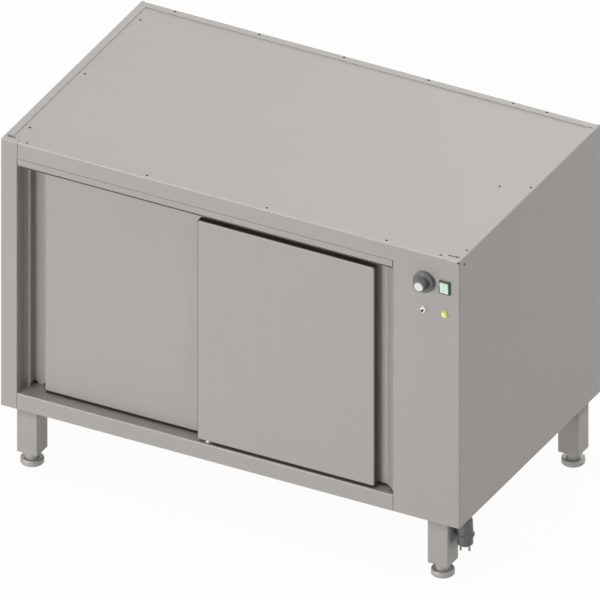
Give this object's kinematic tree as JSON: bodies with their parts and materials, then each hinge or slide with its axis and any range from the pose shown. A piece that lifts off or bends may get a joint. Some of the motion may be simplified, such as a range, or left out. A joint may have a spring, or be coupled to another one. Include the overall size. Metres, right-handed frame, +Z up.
{
  "type": "hot cupboard",
  "caption": "Freestanding heated plate cupboard in brushed steel sheet, with bypassing sliding doors, a side control fascia, square legs and levelling feet.",
  "frame": {"origin": "on the floor, under the middle of the box round the cupboard and its knob, without the lead and plug", "axes": "+X along the width to the right as seen from the front, +Y from the front to the back, +Z up"},
  "size_m": [1.1245, 0.678, 0.813],
  "materials": {
    "casing_steel": "satin brushed stainless sheet",
    "liner_steel": "plain stainless liner sheet",
    "door_steel": "satin brushed stainless door skin",
    "dark_steel": "blackened steel",
    "leg_steel": "satin square stainless tube",
    "foot_steel": "turned stainless steel",
    "nylon": "white nylon",
    "mineral_wool": "mineral wool slab",
    "door_edge": "dark rigid core, smooth-skinned where it shows at the edges",
    "black_plastic": "black moulded plastic",
    "knob_plastic": "dark grey moulded plastic",
    "white_plastic": "white moulded plastic",
    "green_bezel": "dark green moulded plastic",
    "mint_rocker": "translucent mint green plastic, lit from inside",
    "yellow_lens": "translucent yellow lens",
    "heater_tube": "heat-tinted steel sheath",
    "cord_rubber": "rubber-sheathed lead",
    "plug_rubber": "dark grey moulded rubber plug",
    "pin_brass": "nickel-plated brass pins"
  },
  "bodies": {
    "cabinet": {"left_side_panel": "casing_steel", "control_side_panel": "casing_steel", "back_panel": "casing_steel", "top_panel": "casing_steel", "base_pan": "casing_steel", "front_header": "casing_steel", "bottom_rail": "casing_steel", "left_jamb": "casing_steel", "right_jamb": "casing_steel", "door_track": "casing_steel", "floor_guide": "nylon", "inner_left_wall": "liner_steel", "inner_back_wall": "liner_steel", "inner_ceiling": "liner_steel", "inner_floor": "liner_steel", "partition_wall": "liner_steel", "insulation": "mineral_wool", "front_left_leg": "leg_steel", "front_right_leg": "leg_steel", "rear_left_leg": "leg_steel", "rear_right_leg": "leg_steel", "leg_inserts": "black_plastic", "thermostat_body": "black_plastic", "switch_housing": "green_bezel", "reset_bush": "white_plastic", "indicator_lamp": "yellow_lens", "heating_element": "heater_tube", "fan_bracket": "dark_steel", "fan_motor": "black_plastic", "air_grille": "liner_steel", "terminal_block": "white_plastic", "cable_gland": "black_plastic", "power_cord": "cord_rubber", "plug_body": "plug_rubber", "plug_pins": "pin_brass", "shelf_supports": "liner_steel"},
    "left_door": {"left_door_skin": "door_steel", "left_door_back": "liner_steel", "left_door_core": "door_edge", "left_door_channel": "nylon", "left_door_hangers": "dark_steel"},
    "right_door": {"right_door_skin": "door_steel", "right_door_back": "liner_steel", "right_door_core": "door_edge", "right_door_channel": "nylon", "right_door_hangers": "dark_steel"},
    "left_roller_a": {"left_door_roller_a": "nylon"},
    "left_roller_b": {"left_door_roller_b": "nylon"},
    "right_roller_a": {"right_door_roller_a": "nylon"},
    "right_roller_b": {"right_door_roller_b": "nylon"},
    "front_left_foot": {"front_left_foot": "foot_steel"},
    "front_right_foot": {"front_right_foot": "foot_steel"},
    "rear_left_foot": {"rear_left_foot": "foot_steel"},
    "rear_right_foot": {"rear_right_foot": "foot_steel"},
    "knob": {"thermostat_knob": "knob_plastic", "knob_cap": "white_plastic"},
    "rocker": {"switch_rocker": "mint_rocker"},
    "reset": {"reset_button": "black_plastic"},
    "fan": {"fan_impeller": "liner_steel"},
    "shelf": {"shelf": "liner_steel"}
  },
  "joints": [
    {"name": "left_door_slide", "type": "slide", "parent": "cabinet", "child": "left_door", "axis": [1, 0, 0], "range_m": [0, 0.36]},
    {"name": "right_door_slide", "type": "slide", "parent": "cabinet", "child": "right_door", "axis": [1, 0, 0], "range_m": [-0.36, 0]},
    {"name": "left_roller_a_spin", "type": "hinge", "parent": "left_door", "child": "left_roller_a", "pos_m": [-0.4055, -0.2615, 0.7688], "axis": [0, 1, 0], "range_deg": [-10, 2080]},
    {"name": "left_roller_b_spin", "type": "hinge", "parent": "left_door", "child": "left_roller_b", "pos_m": [-0.097, -0.2615, 0.7688], "axis": [0, 1, 0], "range_deg": [-10, 2080]},
    {"name": "right_roller_a_spin", "type": "hinge", "parent": "right_door", "child": "right_roller_a", "pos_m": [-0.021, -0.2875, 0.7688], "axis": [0, 1, 0], "range_deg": [-2080, 10]},
    {"name": "right_roller_b_spin", "type": "hinge", "parent": "right_door", "child": "right_roller_b", "pos_m": [0.2875, -0.2875, 0.7688], "axis": [0, 1, 0], "range_deg": [-2080, 10]},
    {"name": "thermostat_turn", "type": "hinge", "parent": "cabinet", "child": "knob", "pos_m": [0.4725, -0.311, 0.7425], "axis": [0, 1, 0], "range_deg": [0, 270]},
    {"name": "switch_rock", "type": "hinge", "parent": "cabinet", "child": "rocker", "pos_m": [0.5225, -0.3132, 0.741], "axis": [-1, 0, 0], "range_deg": [0, 10]},
    {"name": "reset_press", "type": "slide", "parent": "cabinet", "child": "reset", "axis": [0, 1, 0], "range_m": [0, 0.003], "stiffness_N_per_m": 400, "springref_m": -0.002},
    {"name": "fan_spin", "type": "hinge", "parent": "cabinet", "child": "fan", "pos_m": [0.4325, 0.014, 0.471], "axis": [1, 0, 0], "continuous": true},
    {"name": "shelf_lift", "type": "slide", "parent": "cabinet", "child": "shelf", "axis": [0, 0, 1], "range_m": [0, 0.04]},
    {"name": "front_left_foot_screw", "type": "hinge", "parent": "cabinet", "child": "front_left_foot", "pos_m": [-0.499, -0.276, 0.015], "axis": [0, 0, 1], "range_deg": [0, 3600]},
    {"name": "front_right_foot_screw", "type": "hinge", "parent": "cabinet", "child": "front_right_foot", "pos_m": [0.499, -0.276, 0.015], "axis": [0, 0, 1], "range_deg": [0, 3600]},
    {"name": "rear_left_foot_screw", "type": "hinge", "parent": "cabinet", "child": "rear_left_foot", "pos_m": [-0.531, 0.2645, 0.015], "axis": [0, 0, 1], "range_deg": [0, 3600]},
    {"name": "rear_right_foot_screw", "type": "hinge", "parent": "cabinet", "child": "rear_right_foot", "pos_m": [0.531, 0.2645, 0.015], "axis": [0, 0, 1], "range_deg": [0, 3600]}
  ],
  "couplings": [
    {"joint": "left_roller_a_spin", "follows": "left_door_slide", "rad_per_m": 100},
    {"joint": "left_roller_b_spin", "follows": "left_door_slide", "rad_per_m": 100},
    {"joint": "right_roller_a_spin", "follows": "right_door_slide", "rad_per_m": 100},
    {"joint": "right_roller_b_spin", "follows": "right_door_slide", "rad_per_m": 100}
  ]
}
